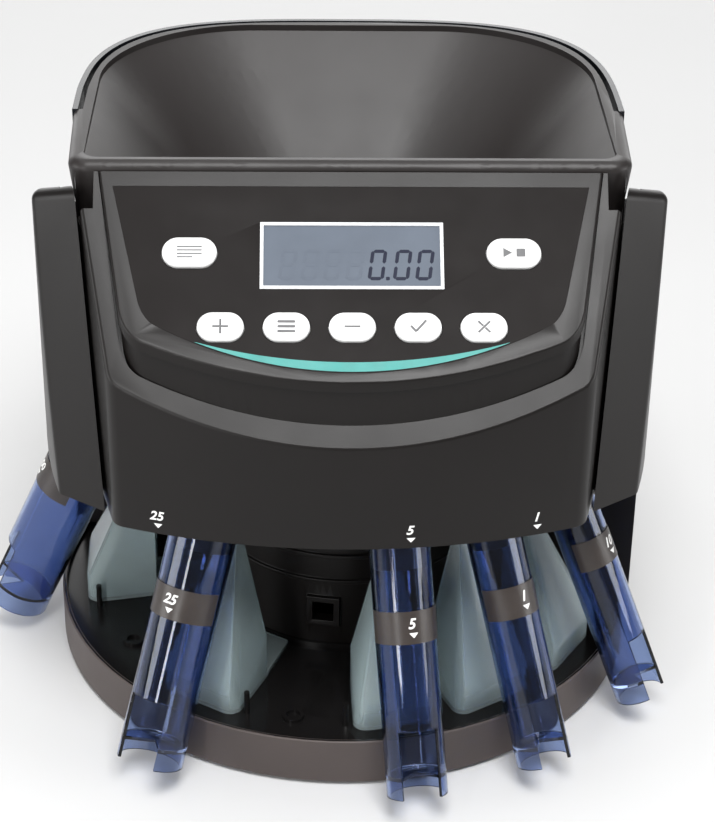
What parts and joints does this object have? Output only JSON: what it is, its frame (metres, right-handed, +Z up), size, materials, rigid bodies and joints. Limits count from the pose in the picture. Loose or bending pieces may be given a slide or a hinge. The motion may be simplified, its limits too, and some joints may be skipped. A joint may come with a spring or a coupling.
{
  "type": "coin sorting machine",
  "caption": "Desktop coin sorter with a rear-hinged hopper over a turning disc, a sloping keypad panel, and clear tubes and bins that collect each coin size.",
  "frame": {"origin": "on the table, below the centre of the round base", "axes": "+Z up, -Y towards the user and the control panel, +X to the user's right"},
  "size_m": [0.3271, 0.3157, 0.267],
  "materials": {
    "housing": "satin moulded",
    "base": "satin moulded",
    "film": "satin film",
    "key": "smooth",
    "display_frame": "smooth",
    "display_pane": "clear",
    "hopper": "fine grain",
    "guard": "polished",
    "tube": "clear blue tint",
    "bin": "clear grey tint",
    "inner_plastic": "moulded",
    "steel": "zinc plated",
    "rubber": "matte",
    "board": "solder mask",
    "brass": "machined",
    "contact": "moulded"
  },
  "bodies": {
    "root": {"base_tray": "base", "base_plate": "steel", "rubber_feet": "rubber", "base_screws": "steel", "core_column": "housing", "rear_housing": "housing", "front_housing": "housing", "head_floor": "housing", "panel_console": "housing", "panel_overlay": "film", "lcd_frame": "display_frame", "lcd_window": "display_pane", "lcd_module": "board", "key_board": "board", "main_board": "board", "hinge_pins": "steel", "sorting_rail": "inner_plastic", "shaft_bearings": "steel", "motor": "steel", "motor_bracket": "steel", "coin_sensors": "board", "power_supply": "board", "socket_panel": "contact", "power_inlet": "contact", "switch_body": "contact", "data_port": "contact", "case_screws": "steel", "chute_dollar": "inner_plastic", "chute_25": "inner_plastic", "chute_5": "inner_plastic", "chute_1": "inner_plastic", "chute_10": "inner_plastic"},
    "hopper": {"hopper_bowl": "hopper", "rim_guard": "guard"},
    "disc": {"sorting_disc": "steel", "drive_shaft": "steel", "drive_gear": "inner_plastic"},
    "rotor": {"pinion": "brass"},
    "rocker": {"power_switch": "contact"},
    "key_report": {"button_report": "key"},
    "key_start": {"button_start": "key"},
    "key_plus": {"button_plus": "key"},
    "key_batch": {"button_batch": "key"},
    "key_minus": {"button_minus": "key"},
    "key_set": {"button_set": "key"},
    "key_clear": {"button_clear": "key"},
    "tube_dollar": {"tube_dollar": "tube"},
    "bin_dollar": {"bin_dollar": "bin"},
    "tube_25": {"tube_25": "tube"},
    "bin_25": {"bin_25": "bin"},
    "tube_5": {"tube_5": "tube"},
    "bin_5": {"bin_5": "bin"},
    "tube_1": {"tube_1": "tube"},
    "bin_1": {"bin_1": "bin"},
    "tube_10": {"tube_10": "tube"},
    "bin_10": {"bin_10": "bin"}
  },
  "joints": [
    {"name": "hopper_hinge", "type": "hinge", "parent": "root", "child": "hopper", "pos_m": [0, 0.131, 0.2085], "axis": [-1, 0, 0], "range_deg": [0, 65]},
    {"name": "disc_spin", "type": "hinge", "parent": "root", "child": "disc", "pos_m": [0, 0, 0.166], "axis": [0, 0, 1], "continuous": true},
    {"name": "rotor_spin", "type": "hinge", "parent": "root", "child": "rotor", "pos_m": [0, 0.0375, 0.141], "axis": [0, 0, 1], "continuous": true},
    {"name": "power_rocker", "type": "hinge", "parent": "root", "child": "rocker", "pos_m": [-0.008, 0.132, 0.058], "axis": [1, 0, 0], "range_deg": [0, 20]},
    {"name": "press_report", "type": "slide", "parent": "root", "child": "key_report", "axis": [0, 0.6361, -0.7716], "range_m": [0, 0.001], "stiffness_N_per_m": 400, "springref_m": -0.001},
    {"name": "press_start", "type": "slide", "parent": "root", "child": "key_start", "axis": [0, 0.6361, -0.7716], "range_m": [0, 0.001], "stiffness_N_per_m": 400, "springref_m": -0.001},
    {"name": "press_plus", "type": "slide", "parent": "root", "child": "key_plus", "axis": [0, 0.6361, -0.7716], "range_m": [0, 0.001], "stiffness_N_per_m": 400, "springref_m": -0.001},
    {"name": "press_batch", "type": "slide", "parent": "root", "child": "key_batch", "axis": [0, 0.6361, -0.7716], "range_m": [0, 0.001], "stiffness_N_per_m": 400, "springref_m": -0.001},
    {"name": "press_minus", "type": "slide", "parent": "root", "child": "key_minus", "axis": [0, 0.6361, -0.7716], "range_m": [0, 0.001], "stiffness_N_per_m": 400, "springref_m": -0.001},
    {"name": "press_set", "type": "slide", "parent": "root", "child": "key_set", "axis": [0, 0.6361, -0.7716], "range_m": [0, 0.001], "stiffness_N_per_m": 400, "springref_m": -0.001},
    {"name": "press_clear", "type": "slide", "parent": "root", "child": "key_clear", "axis": [0, 0.6361, -0.7716], "range_m": [0, 0.001], "stiffness_N_per_m": 400, "springref_m": -0.001},
    {"name": "pull_tube_dollar", "type": "slide", "parent": "root", "child": "tube_dollar", "axis": [-0.4222, -0.0184, -0.9063], "range_m": [0, 0.0055]},
    {"name": "pull_tube_25", "type": "slide", "parent": "root", "child": "tube_25", "axis": [-0.2302, -0.3544, -0.9063], "range_m": [0, 0.0055]},
    {"name": "pull_tube_5", "type": "slide", "parent": "root", "child": "tube_5", "axis": [0.0777, -0.4154, -0.9063], "range_m": [0, 0.0055]},
    {"name": "pull_tube_1", "type": "slide", "parent": "root", "child": "tube_1", "axis": [0.2277, -0.356, -0.9063], "range_m": [0, 0.0055]},
    {"name": "pull_tube_10", "type": "slide", "parent": "root", "child": "tube_10", "axis": [0.3568, -0.2264, -0.9063], "range_m": [0, 0.0055]},
    {"name": "lift_bin_dollar", "type": "slide", "parent": "root", "child": "bin_dollar", "axis": [0, 0, 1], "range_m": [0, 0.014]},
    {"name": "lift_bin_25", "type": "slide", "parent": "root", "child": "bin_25", "axis": [0, 0, 1], "range_m": [0, 0.014]},
    {"name": "lift_bin_5", "type": "slide", "parent": "root", "child": "bin_5", "axis": [0, 0, 1], "range_m": [0, 0.014]},
    {"name": "lift_bin_1", "type": "slide", "parent": "root", "child": "bin_1", "axis": [0, 0, 1], "range_m": [0, 0.014]},
    {"name": "lift_bin_10", "type": "slide", "parent": "root", "child": "bin_10", "axis": [0, 0, 1], "range_m": [0, 0.014]}
  ],
  "couplings": [
    {"joint": "rotor_spin", "follows": "disc_spin", "ratio": -4}
  ]
}
